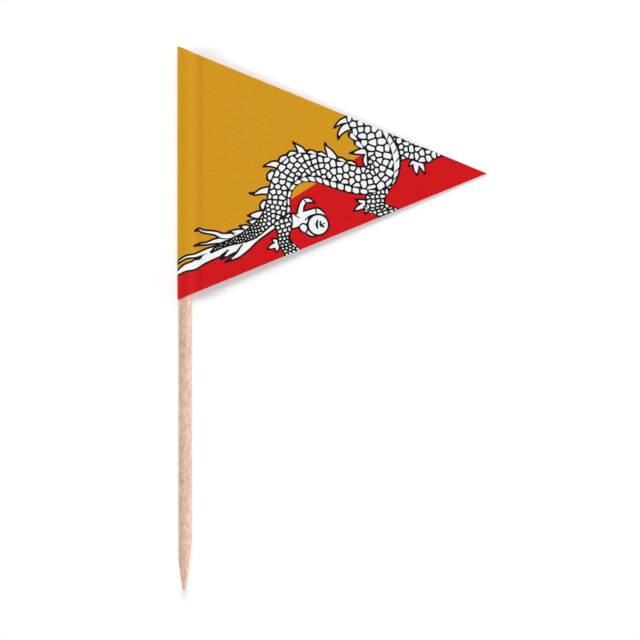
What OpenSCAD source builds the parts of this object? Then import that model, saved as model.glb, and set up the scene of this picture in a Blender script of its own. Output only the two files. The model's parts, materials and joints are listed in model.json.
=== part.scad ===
// A cocktail stick with a folded paper pennant, lying as it comes to rest:
// the stick along Y with its point towards -Y, the pennant flying towards +X.
// The origin is the middle of the footprint, on the surface it lies on.

/* [Toothpick] */
// Length of the stick, from its flat head to the end of its point
stick_length = 65; // [50:0.5:90]
// Diameter of the straight shank
stick_d = 1.6; // [1.2:0.1:2.4]
// Length of the sharpened point
point_length = 6.2; // [5:0.1:10]
// Slope of the point where it leaves the shank, in degrees
point_slope = 5; // [1:0.5:5.5]
// Radius of the blunted end
tip_r = 0.16; // [0.1:0.01:0.25]
// How far the point is ground off the shank's axis
point_offset = 0.12; // [0.04:0.01:0.2]
// Bevel round the head
head_bevel = 0.12; // [0.05:0.01:0.3]

/* [Pennant] */
// Height of the pennant along its fold
hoist = 30.8; // [24:0.1:40]
// Length of the pennant, from its fold to its tip
fly = 37.6; // [30:0.1:50]
// Thickness of the paper
paper_t = 0.08; // [0.06:0.01:0.15]
// How far the head lies below the pennant's top corner
head_recess = 1; // [0.5:0.1:3]
// Where the two plies close, from the stick's axis
closing = 1.9; // [1.8:0.1:2.6]

/* [Glue] */
// Thickness of the glue film
glue_t = 0.03; // [0.02:0.01:0.05]
// How far the glue stops short of the cut edges
glue_margin = 0.4; // [0.2:0.1:1]

/* [Print] */
// Thickness of the ink
ink_t = 0.02; // [0.02:0.01:0.04]
// Width of the black lines
line_w = 0.26; // [0.2:0.02:0.36]
// Length of a scale along the body
scale_pitch = 1.7; // [1.4:0.1:2]
// Width of a row of scales, before it is fitted to the body
scale_row = 1.6; // [1.1:0.05:1.7]
// Length of a scale along a leg
leg_pitch = 1.5; // [1.2:0.1:1.7]
// Length of a belly plate
plate_pitch = 2; // [1.4:0.1:2.4]
// Waviness of the scales' edges, as a share of their length
waviness = 0.16; // [0:0.02:0.2]
// Radius of the jewel
jewel_r = 1.27; // [0.9:0.01:1.4]

/* [Hidden] */
$fn = 96;

stick_r = stick_d / 2;
lining_r = stick_r + glue_t;
ink_side = paper_t + ink_t;
sleeve_r = lining_r + ink_side;
edge_slope = hoist / 2 / fly;

// The concave arc that leads each ply from the sleeve down to the middle plane.
// It dips a hair into both, so that the surfaces cross at clean edges.
dip = 0.002;
blend_r = (closing * closing + pow(glue_t / 2 - dip, 2) - pow(lining_r - dip, 2))
    / (2 * lining_r - glue_t);
blend_z = glue_t / 2 - dip + blend_r;

// The point is an arc turned about an axis that lies beside the shank's own
run_out = 0.02;
point_r = stick_r + point_offset + run_out;
shoulder = stick_length - point_length;
nose = point_length - tip_r;
point_arc = (point_r * point_r + nose * nose - tip_r * tip_r)
    / (2 * (point_r * cos(point_slope) - tip_r - nose * sin(point_slope)));

// The pick lies on its sleeve and on the pennant's tip, so it is rolled a little about the stick
reach = fly - sleeve_r;
tip_half = glue_t / 2 + ink_side;
roll = asin(sleeve_r / norm([reach, tip_half])) - atan(tip_half / reach);
right_edge = reach * cos(roll) + tip_half * sin(roll);
head_y = hoist / 2 - head_recess;
top_y = max(head_y, hoist / 2);
middle_x = (right_edge - sleeve_r) / 2;
middle_y = (top_y + head_y - stick_length) / 2;

over = 1;
// Nothing thinner than this is printed
thin = 0.02;
// The first scales of a leg stand clear of the body's own
leg_start = 0.5;
// The lines round the scales wander, in degrees for each band's width, column or row
wave_turns = [540, 150];
stagger_turns = [137, 211];
// How far the lines between two rows of scales wander, as a share of a row's width
stagger = 0.1;
// The narrowest belly plate that shows, as a share of a line's width
least_plate = 0.6;

module laid() {
    translate([-middle_x, -middle_y, sleeve_r]) rotate([0, roll, 0]) children();
}

// The drawing is set out on a pennant of this size, from the fold and from mid-height
drawn = [37.6, 30.8];
art = [fly / drawn.x, hoist / drawn.y];

// Rows along the body, tail to neck: the back, the belly and the width of the belly's plates
BODY = [
    [3.9, -9.6, 4.1, -9.8, 0], [4.9, -8.7, 5.3, -9.1, 0], [6.2, -8.1, 6.5, -8.7, 0],
    [7.8, -7.3, 8.2, -8.3, 0], [9, -6.2, 9.7, -7.7, 0], [9.9, -5.2, 11.6, -6.1, 0],
    [10.4, -4.3, 13.3, -4.7, 0.4], [10.9, -3.1, 13.2, -3.4, 0.4], [11.1, -2, 13.4, -2.2, 0.5],
    [11.5, -0.6, 13.9, -1.3, 0.6], [12.2, 0.8, 14.6, -0.7, 0.8], [13.4, 1.9, 15.4, -0.4, 0.8],
    [14.8, 2.4, 16.3, -0.3, 0.9], [16.5, 2.3, 17.4, -0.5, 0.9], [18.2, 1.9, 18.6, -0.9, 0.8],
    [20, 1.4, 19.9, -1.2, 0.9], [21.5, 0.9, 21.3, -1.6, 0.8], [22.8, 0.8, 22.9, -1.9, 0.6],
    [23.1, 0.9, 24.8, -1.9, 0], [23.2, 1.2, 26, -1.2, 0], [23.2, 1.7, 26.2, 0.3, 0],
    [23.1, 2.4, 26.1, 1.8, 0], [22.7, 3.1, 25.8, 3.1, 0], [22.2, 3.8, 25.3, 4.1, 0],
    [21.5, 4.7, 24.8, 5, 0], [20.9, 5.7, 24.2, 6, 0], [20.4, 7.2, 23.6, 7.6, 0]
];
// Rows along each leg, from the body outwards: its two edges
HIND_LEG = [
    [11.4, -5.4, 13.8, -4.8], [12, -6.8, 13.9, -6.2], [12.2, -7.6, 13.6, -7.4],
    [12.3, -8.6, 13.6, -8.3], [13, -9.8, 14.4, -9.2], [14, -11.2, 15.4, -10.6]
];
NEAR_LEG = [
    [22.9, -1.9, 26.15, -1.35], [22.9, -3.2, 25.2, -3.1],
    [23, -4.2, 25.4, -3.8], [24.1, -5, 26.6, -4.25], [25.3, -6.4, 27.9, -5.4]
];
FAR_LEG = [
    [25.6, 5.2, 27.05, 1.4], [28, 4.6, 28, 1.8], [29.3, 4, 29.3, 1.4],
    [30.4, 3.5, 30.5, 1.3], [31.3, 3.2, 31.5, 1.9], [33, 2.8, 33.1, 2.4]
];
// Horns, flames, toes and fingers, from root to tip: a middle line and half the width
HORNS = [
    [[10.2, -5.1, 0.48], [9.4, -5.15, 0.34], [8.5, -5.15, 0.02]],
    [[9.6, -6, 0.35], [8.4, -5.85, 0.02]],
    [[8.9, -6.9, 0.4], [7.5, -6.4, 0.02]],
    [[11.1, -2.1, 0.5], [10.2, -2.2, 0.36], [9.4, -2.5, 0.16], [8.7, -2.4, 0.02]],
    [[12.4, 0.9, 0.45], [11.7, 1.1, 0.4], [11, 1, 0.2], [10.4, 0.8, 0.02]],
    [[15.2, 2.3, 0.55], [14.9, 2.9, 0.4], [14.5, 3.3, 0.2], [14, 3.8, 0.02]],
    [[18.7, 1.8, 0.55], [18.4, 2.6, 0.38], [18.1, 3.1, 0.2], [17.9, 3.7, 0.02]],
    [[23.2, 2.75, 0.5], [22.1, 2.6, 0.34], [21.5, 2.5, 0.18], [20.9, 2.45, 0.02]],
    [[22.95, 0.9, 0.2], [22.8, 1.6, 0.3], [22.9, 2.35, 0.16]],
    [[21.2, 5.8, 0.5], [20.3, 5.5, 0.45], [19.7, 4.8, 0.25], [19.5, 4.1, 0.02]],
    [[22.6, 6.6, 0.5], [20.8, 6.5, 0.42], [19.8, 6.2, 0.28], [19, 5.5, 0.02]]
];
FLAMES = [
    [[7.6, -7.5, 0.3], [5.6, -7.65, 0.3], [4.6, -7.35, 0.26], [3.2, -7.1, 0.22], [2.6, -6.85, 0.14],
        [2.1, -7.05, 0.02]],
    [[8.4, -7.2, 0.4], [7.2, -7.1, 0.3], [6.2, -7.1, 0.02]],
    [[6.4, -8.3, 0.4], [4.9, -8.3, 0.36], [3.6, -8.6, 0.2], [2.8, -8.65, 0.14], [2, -8.9, 0.02]],
    [[5.4, -9, 0.5], [3.6, -9.5, 0.4], [2.2, -10.1, 0.28], [1.2, -10.25, 0.22], [0.4, -10.7, 0.16],
        [-0.6, -11.4, 0.1]],
    [[7, -8.8, 0.6], [4.6, -9.8, 0.55], [3, -10.5, 0.6], [2, -11.2, 0.6], [1, -11.6, 0.42], [0, -12.1, 0.25],
        [-0.8, -12.6, 0.12]],
    [[8.2, -8.6, 0.5], [6.8, -9.3, 0.4], [6, -9.9, 0.24], [5.2, -10.5, 0.02]],
    [[11.8, -6.4, 0.3], [9.7, -7.9, 0.32], [8.4, -8.9, 0.5], [7.4, -9.9, 0.34], [6.6, -10.4, 0.18],
        [5.8, -10.8, 0.02]]
];
// The smooth strip down the front of the neck
THROAT = [
    [[26.1, -1.7, 0.08], [26.45, -0.3, 0.32], [26.6, 1.3, 0.46], [26.3, 2.9, 0.46], [25.65, 4.25, 0.4],
        [24.9, 5.7, 0.2]]
];
TOES = [
    [[12.5, -8.6, 0.35], [11.9, -8.25, 0.3], [11.4, -7.95, 0.02]],
    [[12.5, -8.5, 0.4], [11.5, -8.9, 0.32], [10.9, -9.2, 0.02]],
    [[12.1, -8.5, 0.4], [12.1, -9.1, 0.3], [12.05, -9.6, 0.02]],
    [[23.1, -3.6, 0.35], [22.2, -3.4, 0.26], [21.6, -3.15, 0.02]],
    [[23.1, -3.7, 0.42], [22, -4.2, 0.3], [21.4, -4.6, 0.02]],
    [[22.9, -3.7, 0.35], [22.93, -4.5, 0.26], [22.8, -5, 0.02]],
    [[29, 1.5, 0.4], [28.5, 1.25, 0.28], [28.1, 0.85, 0.02]],
    [[29, 1.6, 0.45], [29, 0.5, 0.34], [29.1, -0.25, 0.02]],
    [[29.3, 1.5, 0.42], [29.8, 0.7, 0.28], [30.05, -0.1, 0.02]]
];
HAND = [
    [[13.6, -5.9, 0.95], [14.6, -5.7, 0.85], [15.8, -5.5, 0.6]],
    [[14.9, -5.6, 0.5], [15, -4.2, 0.36], [15.4, -3.4, 0.36], [16, -3.3, 0.28], [16.7, -3.6, 0.02]],
    [[15, -5.2, 0.5], [16.2, -4.75, 0.4], [17, -4.6, 0.4], [17.8, -5, 0.2]],
    [[15, -6.25, 0.3], [15.3, -6.6, 0.5], [15.65, -6.95, 0.4]],
    [[15.75, -7.1, 0.28], [16.3, -7.4, 0.28], [16.9, -7.5, 0.16]]
];
JEWEL = [17.1, -6.25];
SHINE = [
    [[17.05, -5.65, 0.05], [16.88, -6.2, 0.12], [17.05, -6.75, 0.05]],
    [[17.35, -5.8, 0.06], [17.42, -6.3, 0.13], [17.85, -6.52, 0.06]]
];
// The line between the two grounds, which crosses the fold below its middle
GROUND_LINE = [[0, -11.9], [26.2, 4.7]];

function flat2(v) = [v[0], v[1]];
function unit(v) = v / norm(v);

// A point across a row: share 0 is its first edge and 1 its second, then so far beyond
function across(row, share, beyond = 0) =
    let(a = [row[0], row[1]], b = [row[2], row[3]]) a + (b - a) * share + unit(b - a) * beyond;
function width(row) = norm([row[2] - row[0], row[3] - row[1]]);

// A row at a distance along the middle of a band
function run(rows, i = 0, sum = 0) = i == len(rows) ? [] : let(
    step = i == 0 ? 0 : norm(across(rows[i], 0.5) - across(rows[i - 1], 0.5))
) concat([[sum + step, i]], run(rows, i + 1, sum + step));
function row_at(rows, lengths, distance) = let(
    place = lookup(distance, lengths), i = min(floor(place), len(rows) - 2), rest = place - i
) rows[i] * (1 - rest) + rows[i + 1] * rest;

module band(rows, grow) {
    function edge(row) = across(row, 1, grow + (len(row) > 4 ? row[4] : 0));
    polygon(concat(
        [for (row = rows) across(row, 0, -grow)],
        [for (i = [len(rows) - 1 : -1 : 0]) edge(rows[i])]
    ));
}

module strand(line, grow) {
    path = [for (q = line) if (q[2] + grow > thin) q];
    last = len(path) - 1;
    function heading(i) = unit(flat2(path[min(i + 1, last)] - path[max(i - 1, 0)]));
    function side(i, way) = let(h = heading(i)) flat2(path[i]) + [-h.y, h.x] * way * (path[i][2] + grow);
    tip = grow > 0 ? [flat2(path[last]) + heading(last) * line_w] : [];
    if (last > 0)
        polygon(concat([for (i = [0 : last]) side(i, 1)], tip, [for (i = [last : -1 : 0]) side(i, -1)]));
}

// One scale, a four-sided cell: its columns run along the band and its rows across it
function wave(k, share, pitch) = waviness * pitch * sin(wave_turns[0] * share + wave_turns[1] * k);
function shift(k, i) = stagger * sin(stagger_turns[0] * k + stagger_turns[1] * i);
module scale_cell(rows, lengths, k, i, count, pitch, start) {
    function corner(dk, di) = let(
        edge = i + di,
        share = (edge + (edge == 0 || edge == count ? 0 : shift(k, edge))) / count,
        along = start + (k + dk) * pitch + wave(k + dk, share, pitch) + (0.5 - dk) * line_w,
        row = row_at(rows, lengths, along)
    ) across(row, share, 0) + unit(across(row, 1) - across(row, 0)) * (0.5 - di) * line_w;
    polygon([corner(0, 0), corner(1, 0), corner(1, 1), corner(0, 1)]);
}
module scales(rows, pitch, start = 0) {
    lengths = run(rows);
    count = floor((lengths[len(lengths) - 1][0] - start) / pitch);
    for (k = [0 : count - 1]) {
        row = row_at(rows, lengths, start + (k + 0.5) * pitch);
        n = max(1, round(width(row) / scale_row));
        for (i = [0 : n - 1]) scale_cell(rows, lengths, k, i, n, pitch, start);
    }
}

// Plates along the belly, where they are wide enough to show
module plates(rows, pitch) {
    lengths = run(rows);
    function strip(k, dk) = row_at(rows, lengths, (k + dk) * pitch + (0.5 - dk) * line_w);
    function depth(row) = row[4] - line_w / 2;
    for (k = [0 : floor(lengths[len(lengths) - 1][0] / pitch) - 1])
        let(near = strip(k, 0), far = strip(k, 1))
            if (min(depth(near), depth(far)) > least_plate * line_w)
                polygon([
                    across(near, 1, line_w / 2), across(far, 1, line_w / 2),
                    across(far, 1, depth(far)), across(near, 1, depth(near))
                ]);
}

// The drawing's rows, stretched to the pennant's real size
function placed(p) = [p.x * art.x, p.y * art.y];
function placed_rows(rows) = [
    for (r = rows) concat(placed([r[0], r[1]]), placed([r[2], r[3]]), [for (i = [4 : 1 : len(r) - 1]) r[i]])
];
function placed_line(line) = [for (q = line) concat(placed([q[0], q[1]]), [q[2]])];
body_rows = placed_rows(BODY);
legs = [for (leg = [HIND_LEG, NEAR_LEG, FAR_LEG]) placed_rows(leg)];
ground_line = [for (p = GROUND_LINE) placed(p)];

module strands(lines, grow) { for (line = lines) strand(placed_line(line), grow); }
module jewel(grow) { translate(placed(JEWEL)) circle(jewel_r + grow); }
module core(grow) {
    band(body_rows, grow);
    for (leg = legs) band(leg, grow);
    jewel(grow);
}
module limbs(grow) {
    strands(HORNS, grow);
    strands(FLAMES, grow);
    strands(THROAT, grow);
    strands(TOES, grow);
    strands(HAND, grow);
}

// Everything the black covers, and the paper that is left bare within it
module figure() {
    core(line_w / 2);
    limbs(line_w / 2);
}
module bare() {
    difference() {
        limbs(-line_w / 2);
        core(line_w / 2);
    }
    plates(body_rows, plate_pitch);
    scales(body_rows, scale_pitch);
    for (leg = legs) scales(leg, leg_pitch, leg_start);
    difference() {
        jewel(-line_w / 2);
        strands(SHINE, 0);
    }
}

// The cut outline of the pennant, or a line so far inside it; it passes straight over the fold
module sheet_outline(inset = 0) {
    lift = inset / cos(atan(edge_slope));
    corner = hoist / 2 - lift + over * edge_slope;
    polygon([[-over, corner], [fly - lift / edge_slope, 0], [-over, -corner]]);
}

// The ground above or below the line that parts the two colours
module ground(way) {
    rise = (ground_line[1].y - ground_line[0].y) / ground_line[1].x;
    function height(u) = ground_line[0].y + rise * u;
    far = fly + over;
    polygon([[-over, height(-over)], [far, height(far)], [far, way * 2 * hoist], [-over, way * 2 * hoist]]);
}

module along_stick() { rotate([90, 0, 0]) linear_extrude(height = 2 * hoist, center = true) children(); }
module upright() {
    translate([-sleeve_r, 0, 0]) linear_extrude(height = 4 * sleeve_r, center = true) children();
}

// The space inside one surface of the folded sheet: round the stick, then in by an arc to the flat flag.
// Each surface lies so far outside the glue.
module fold(depth) {
    r = lining_r + depth;
    half = glue_t / 2 + depth;
    touch = unit([closing, blend_z]) * (r + dip);
    along_stick() circle(r);
    along_stick() difference() {
        polygon([[0, 0], touch, [closing, half], [closing, -half], [touch.x, -touch.y]]);
        for (way = [-1, 1]) translate([closing, way * blend_z]) circle(blend_r - depth);
    }
    along_stick() translate([r, -half]) square([reach + over - r, 2 * half]);
}
module ply(inner, outer) {
    difference() {
        fold(outer);
        fold(inner);
    }
}
module printed() {
    intersection() {
        ply(paper_t, ink_side);
        upright() intersection() {
            sheet_outline();
            children();
        }
    }
}

// The point's outline, turned about its own axis: an arc that ends in a small round nose
module point_outline() {
    centre = [point_r - point_arc * cos(point_slope), shoulder - point_arc * sin(point_slope)];
    nose_at = [0, stick_length - tip_r];
    meet = centre + (nose_at - centre) * point_arc / (point_arc - tip_r);
    translate([0, -over]) square([2 * stick_d, shoulder + over]);
    intersection() {
        translate(centre) circle(point_arc);
        translate([0, shoulder]) square([point_r, meet.y - shoulder]);
    }
    intersection() {
        translate(nose_at) circle(tip_r);
        translate([0, shoulder]) square([point_r, point_length]);
    }
}

module toothpick() {
    color([0.87, 0.74, 0.67]) laid() translate([0, head_y, 0]) rotate([90, 0, 0]) intersection() {
        rotate_extrude() polygon([
            [0, 0], [stick_r - head_bevel, 0], [stick_r, head_bevel],
            [stick_r, stick_length], [0, stick_length]
        ]);
        translate([-point_offset, 0, 0]) rotate_extrude() point_outline();
    }
}

module pennant() {
    color([0.95, 0.95, 0.94]) laid() intersection() {
        ply(0, paper_t);
        upright() sheet_outline();
    }
}

// The glue fills what the stick leaves free between the plies
module glue() {
    color([0.93, 0.91, 0.84]) laid() intersection() {
        difference() {
            fold(0);
            along_stick() circle(stick_r);
        }
        upright() sheet_outline(glue_margin);
    }
}

module orange_ink() {
    color([0.83, 0.59, 0.14]) laid() printed() difference() {
        ground(1);
        figure();
    }
}
module red_ink() {
    color([0.82, 0.11, 0.12]) laid() printed() difference() {
        ground(-1);
        figure();
    }
}
module black_ink() {
    color([0.1, 0.1, 0.11]) laid() printed() difference() {
        figure();
        bare();
    }
}

toothpick();
pennant();
glue();
orange_ink();
red_ink();
black_ink();
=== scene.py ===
"""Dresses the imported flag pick: a birch cocktail stick with a printed paper pennant folded round it."""

import bisect
import json
import math
import random

import bmesh
import bpy
from mathutils import Matrix, Vector, noise
from mathutils.geometry import delaunay_2d_cdt

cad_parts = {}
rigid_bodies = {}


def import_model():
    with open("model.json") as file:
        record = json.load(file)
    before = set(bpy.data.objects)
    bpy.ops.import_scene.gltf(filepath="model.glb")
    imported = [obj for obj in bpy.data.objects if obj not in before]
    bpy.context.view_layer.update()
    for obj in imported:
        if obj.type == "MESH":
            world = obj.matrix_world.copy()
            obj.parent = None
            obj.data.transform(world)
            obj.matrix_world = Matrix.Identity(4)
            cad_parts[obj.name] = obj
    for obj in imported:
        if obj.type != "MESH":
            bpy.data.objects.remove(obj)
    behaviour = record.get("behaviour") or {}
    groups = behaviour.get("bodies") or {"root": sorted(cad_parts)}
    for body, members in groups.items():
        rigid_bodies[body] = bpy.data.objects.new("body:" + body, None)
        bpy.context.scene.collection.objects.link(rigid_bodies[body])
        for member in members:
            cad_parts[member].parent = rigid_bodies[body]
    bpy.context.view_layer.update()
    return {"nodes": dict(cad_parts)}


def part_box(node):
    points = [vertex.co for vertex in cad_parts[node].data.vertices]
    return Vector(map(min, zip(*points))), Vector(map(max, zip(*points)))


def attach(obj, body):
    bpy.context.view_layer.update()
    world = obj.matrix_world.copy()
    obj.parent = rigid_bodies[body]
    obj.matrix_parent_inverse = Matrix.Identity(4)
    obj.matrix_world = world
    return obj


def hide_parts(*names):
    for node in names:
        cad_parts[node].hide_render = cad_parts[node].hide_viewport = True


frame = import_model()

bl_info = {
    "name": "Flag Pick",
    "version": (1, 0, 0),
    "blender": (4, 5, 0),
    "location": "View3D > Sidebar > Flag Pick",
    "description": "Makes a cocktail stick with a printed paper pennant",
    "category": "Add Mesh",
}

MM = 0.001
INKS = ("orange_ink", "red_ink", "black_ink")
# How near, in millimetres, two points are taken as one: anywhere, at a plane's cut, and in a scale's
NEAR, NEAR_CUT, NEAR_SCALE = 1e-4, 1e-5, 1e-6

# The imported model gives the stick's axis and the pennant's size, in millimetres
stick_low, stick_high = (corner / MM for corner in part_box("toothpick"))
print_low, print_high = (
    Vector(choose(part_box(ink)[side][axis] / MM for ink in INKS) for axis in range(3))
    for side, choose in ((0, min), (1, max))
)
STICK_R = (stick_high.x - stick_low.x) / 2
STICK_LENGTH = stick_high.y - stick_low.y
HOIST = print_high.y - print_low.y
MID_Y = (print_high.y + print_low.y) / 2
AXIS_X = (stick_high.x + stick_low.x) / 2
AXIS_Z = (stick_high.z + stick_low.z) / 2
SLEEVE_R = AXIS_X - print_low.x
HEAD_Y = stick_high.y - MID_Y


def hex_colour(text):
    """A linear colour from an sRGB hex value."""
    parts = [int(text[i:i + 2], 16) / 255 for i in (1, 3, 5)]
    return [p / 12.92 if p <= 0.04045 else ((p + 0.055) / 1.055) ** 2.4 for p in parts] + [1]


def colour_setting(name, description, text):
    """A colour that a user can change, from its sRGB hex value."""
    return bpy.props.FloatVectorProperty(
        name=name, description=description, subtype="COLOR", size=4, min=0, max=1,
        default=hex_colour(text))


class PickStickSettings(bpy.types.PropertyGroup):
    """Sizes and colours of the stick."""
    point_length: bpy.props.FloatProperty(
        name="Point", description="Length of the sharpened point", default=6.2 * MM, unit="LENGTH")
    point_slope: bpy.props.FloatProperty(
        name="Slope", description="Slope of the point where it leaves the shank",
        default=math.radians(5), subtype="ANGLE")
    point_offset: bpy.props.FloatProperty(
        name="Offset", description="How far the point is ground off the axis", default=0.12 * MM,
        unit="LENGTH")
    tip_r: bpy.props.FloatProperty(
        name="Tip radius", description="Radius of the blunted end", default=0.16 * MM, unit="LENGTH")
    head_bevel: bpy.props.FloatProperty(
        name="Head bevel", description="Bevel round the flat head", default=0.12 * MM, unit="LENGTH")
    fibre_depth: bpy.props.FloatProperty(
        name="Fibres", description="Depth of the grooves between the fibres", default=0.012 * MM,
        unit="LENGTH")
    wood_light: colour_setting("Light wood", "Colour of the palest birch", "#F5D5BF")
    wood_middle: colour_setting("Middle wood", "Colour of most of the birch", "#E0BCA6")
    wood_dark: colour_setting("Dark wood", "Colour of the darkest fibres", "#C9A38F")
    pores: colour_setting("Pores", "Tint of the pores", "#C79A7C")


class PickPennantSettings(bpy.types.PropertyGroup):
    """Sizes and colours of the folded sheet, its glue and its ink."""
    fly: bpy.props.FloatProperty(
        name="Fly", description="Length of the pennant from its fold to its tip", default=37.6 * MM,
        unit="LENGTH")
    paper: bpy.props.FloatProperty(
        name="Paper", description="Thickness of the sheet", default=0.08 * MM, unit="LENGTH")
    glue: bpy.props.FloatProperty(
        name="Glue", description="Thickness of the glue film", default=0.03 * MM, unit="LENGTH")
    ink: bpy.props.FloatProperty(
        name="Ink", description="Thickness of the ink", default=0.02 * MM, unit="LENGTH")
    closing: bpy.props.FloatProperty(
        name="Closing", description="Where the two plies close, from the stick's axis",
        default=1.9 * MM, unit="LENGTH")
    white: colour_setting("Paper white", "Colour of the bare paper", "#F4F5F6")
    glue_colour: colour_setting("Glue", "Colour of the dried glue", "#F1EBDA")
    orange: colour_setting("Orange ink", "Colour of the upper ground", "#D3971F")
    red: colour_setting("Red ink", "Colour of the lower ground", "#D2161B")
    black: colour_setting("Black ink", "Colour of the drawing", "#1B181A")


class PickDrawingSettings(bpy.types.PropertyGroup):
    """Sizes of the drawing on the pennant."""
    line: bpy.props.FloatProperty(
        name="Line", description="Width of the black lines", default=0.24 * MM, unit="LENGTH")
    gap: bpy.props.FloatProperty(
        name="Gap", description="Black gap between two scales", default=0.21 * MM, unit="LENGTH")
    ridge_plate: bpy.props.FloatProperty(
        name="Ridge plate", description="Length of a plate along the back", default=1.2 * MM,
        unit="LENGTH")
    belly_plate: bpy.props.FloatProperty(
        name="Belly plate", description="Length of a plate along the belly", default=0.95 * MM,
        unit="LENGTH")
    jewel_r: bpy.props.FloatProperty(
        name="Jewel", description="Radius of the jewel", default=1.27 * MM, unit="LENGTH")


class PickStageSettings(bpy.types.PropertyGroup):
    """Strengths of the lights, and how the camera stands."""
    sky: bpy.props.FloatProperty(
        name="Sky", description="Strength of the light from all round", default=0.347)
    top_lamp: bpy.props.FloatProperty(
        name="Top lamp", description="Strength of the lamp beyond the head", default=1.67)
    foot_lamp: bpy.props.FloatProperty(
        name="Foot lamp", description="Strength of the lamp beyond the point", default=0.31)
    fold_lamp: bpy.props.FloatProperty(
        name="Fold lamp", description="Strength of the lamp beside the fold", default=1.1)
    tip_fill: bpy.props.FloatProperty(
        name="Tip fill", description="Strength of the shadowless light beside the pennant's tip",
        default=1.58)
    lens: bpy.props.FloatProperty(
        name="Lens", description="Focal length of the camera, in millimetres", default=200)
    view_width: bpy.props.FloatProperty(
        name="View", description="Width that the picture takes in", default=77.68 * MM, unit="LENGTH")


def in_mm(settings, *names):
    """Lengths of a settings group, in millimetres."""
    return [getattr(settings, name) / MM for name in names]


def add_node(tree, kind, inputs=None, stops=(), **settings):
    """Adds a shader node with its settings, a ramp's stops and its inputs: values, or sockets to link."""
    node = tree.nodes.new("ShaderNode" + kind)
    for name, value in settings.items():
        setattr(node, name, value)
    for index, (position, colour) in enumerate(stops):
        elements = node.color_ramp.elements
        element = elements[index] if index < len(elements) else elements.new(position)
        element.position = position
        element.color = colour
    for name, value in (inputs or {}).items():
        if isinstance(value, bpy.types.NodeSocket):
            tree.links.new(value, node.inputs[name])
        else:
            node.inputs[name].default_value = value
    return node


def darker(colour, share):
    """A colour with only a share of its light."""
    return [part * share for part in colour[:3]] + [1]


def new_material(name):
    """An empty material, its node tree and its output node."""
    material = bpy.data.materials.new(name)
    material.use_nodes = True
    tree = material.node_tree
    tree.nodes.clear()
    return material, tree, add_node(tree, "OutputMaterial")


def birch(name, light, middle, dark, pore):
    """Birch, turned to a rod and tumbled: pale and dull, mottled by its fibres' turns, with fine pores
    along it."""
    material, tree, output = new_material(name)
    place = add_node(tree, "TexCoord").outputs["Object"]
    along = add_node(tree, "Mapping", {"Vector": place, "Scale": (1, 0.5, 1)})
    blotch_mm = 0.42
    blotches = add_node(tree, "TexNoise", {
        "Vector": along.outputs[0], "Scale": 1 / (blotch_mm * MM), "Detail": 3.0, "Roughness": 0.55,
        "Distortion": 0.4})
    # Real fibres are some 0.03 mm across, too fine to show, so they are drawn in bundles
    streaked = add_node(tree, "Mapping", {"Vector": place, "Scale": (1, 0.05, 1)})
    fibre_mm = 0.12
    fibres = add_node(tree, "TexNoise", {
        "Vector": streaked.outputs[0], "Scale": 1 / (fibre_mm * MM), "Detail": 4.0, "Roughness": 0.6})
    fibre_share = 0.25
    tone = add_node(tree, "Mix", {0: fibre_share, 2: blotches.outputs[0], 3: fibres.outputs[0]},
                    data_type="FLOAT")
    colour = add_node(tree, "ValToRGB", {"Fac": tone.outputs[0]}, [
        (0.3, dark), (0.5, middle), (0.7, light)])
    pored = add_node(tree, "Mapping", {"Vector": place, "Scale": (1, 0.12, 1)})
    pore_mm = 0.16
    pores = add_node(tree, "TexNoise", {
        "Vector": pored.outputs[0], "Scale": 1 / (pore_mm * MM), "Detail": 1.0})
    pitted = add_node(tree, "ValToRGB", {"Fac": pores.outputs[0]}, [(0.28, pore), (0.36, (1, 1, 1, 1))])
    pore_share = 0.4
    wood = add_node(tree, "Mix", {0: pore_share, 6: colour.outputs[0], 7: pitted.outputs[0]},
                    data_type="RGBA", blend_type="MULTIPLY")
    bump = add_node(tree, "Bump", {"Strength": 0.35, "Distance": 0.02 * MM, "Height": fibres.outputs[0]})
    surface = add_node(tree, "BsdfPrincipled", {
        "Base Color": wood.outputs[2], "Roughness": 0.62, "IOR": 1.5, "Normal": bump.outputs[0]})
    tree.links.new(surface.outputs[0], output.inputs[0])
    return material


def coated_paper(name, white):
    """White coated printing paper: smooth and a little cool, with a faint cloud of fibres under the
    coating."""
    material, tree, output = new_material(name)
    place = add_node(tree, "TexCoord").outputs["Object"]
    cloud_mm = 0.6
    cloud = add_node(tree, "TexNoise", {
        "Vector": place, "Scale": 1 / (cloud_mm * MM), "Detail": 5.0, "Roughness": 0.65})
    colour = add_node(tree, "ValToRGB", {"Fac": cloud.outputs[0]}, [
        (0.3, darker(white, 0.93)), (0.62, white)])
    # Coarser than real paper's tooth, which is too fine to show
    tooth_mm = 0.09
    tooth = add_node(tree, "TexNoise", {"Vector": place, "Scale": 1 / (tooth_mm * MM), "Detail": 3.0})
    bump = add_node(tree, "Bump", {"Strength": 0.2, "Distance": 0.01 * MM, "Height": tooth.outputs[0]})
    surface = add_node(tree, "BsdfPrincipled", {
        "Base Color": colour.outputs[0], "Roughness": 0.5, "IOR": 1.5, "Normal": bump.outputs[0]})
    tree.links.new(surface.outputs[0], output.inputs[0])
    return material


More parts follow.
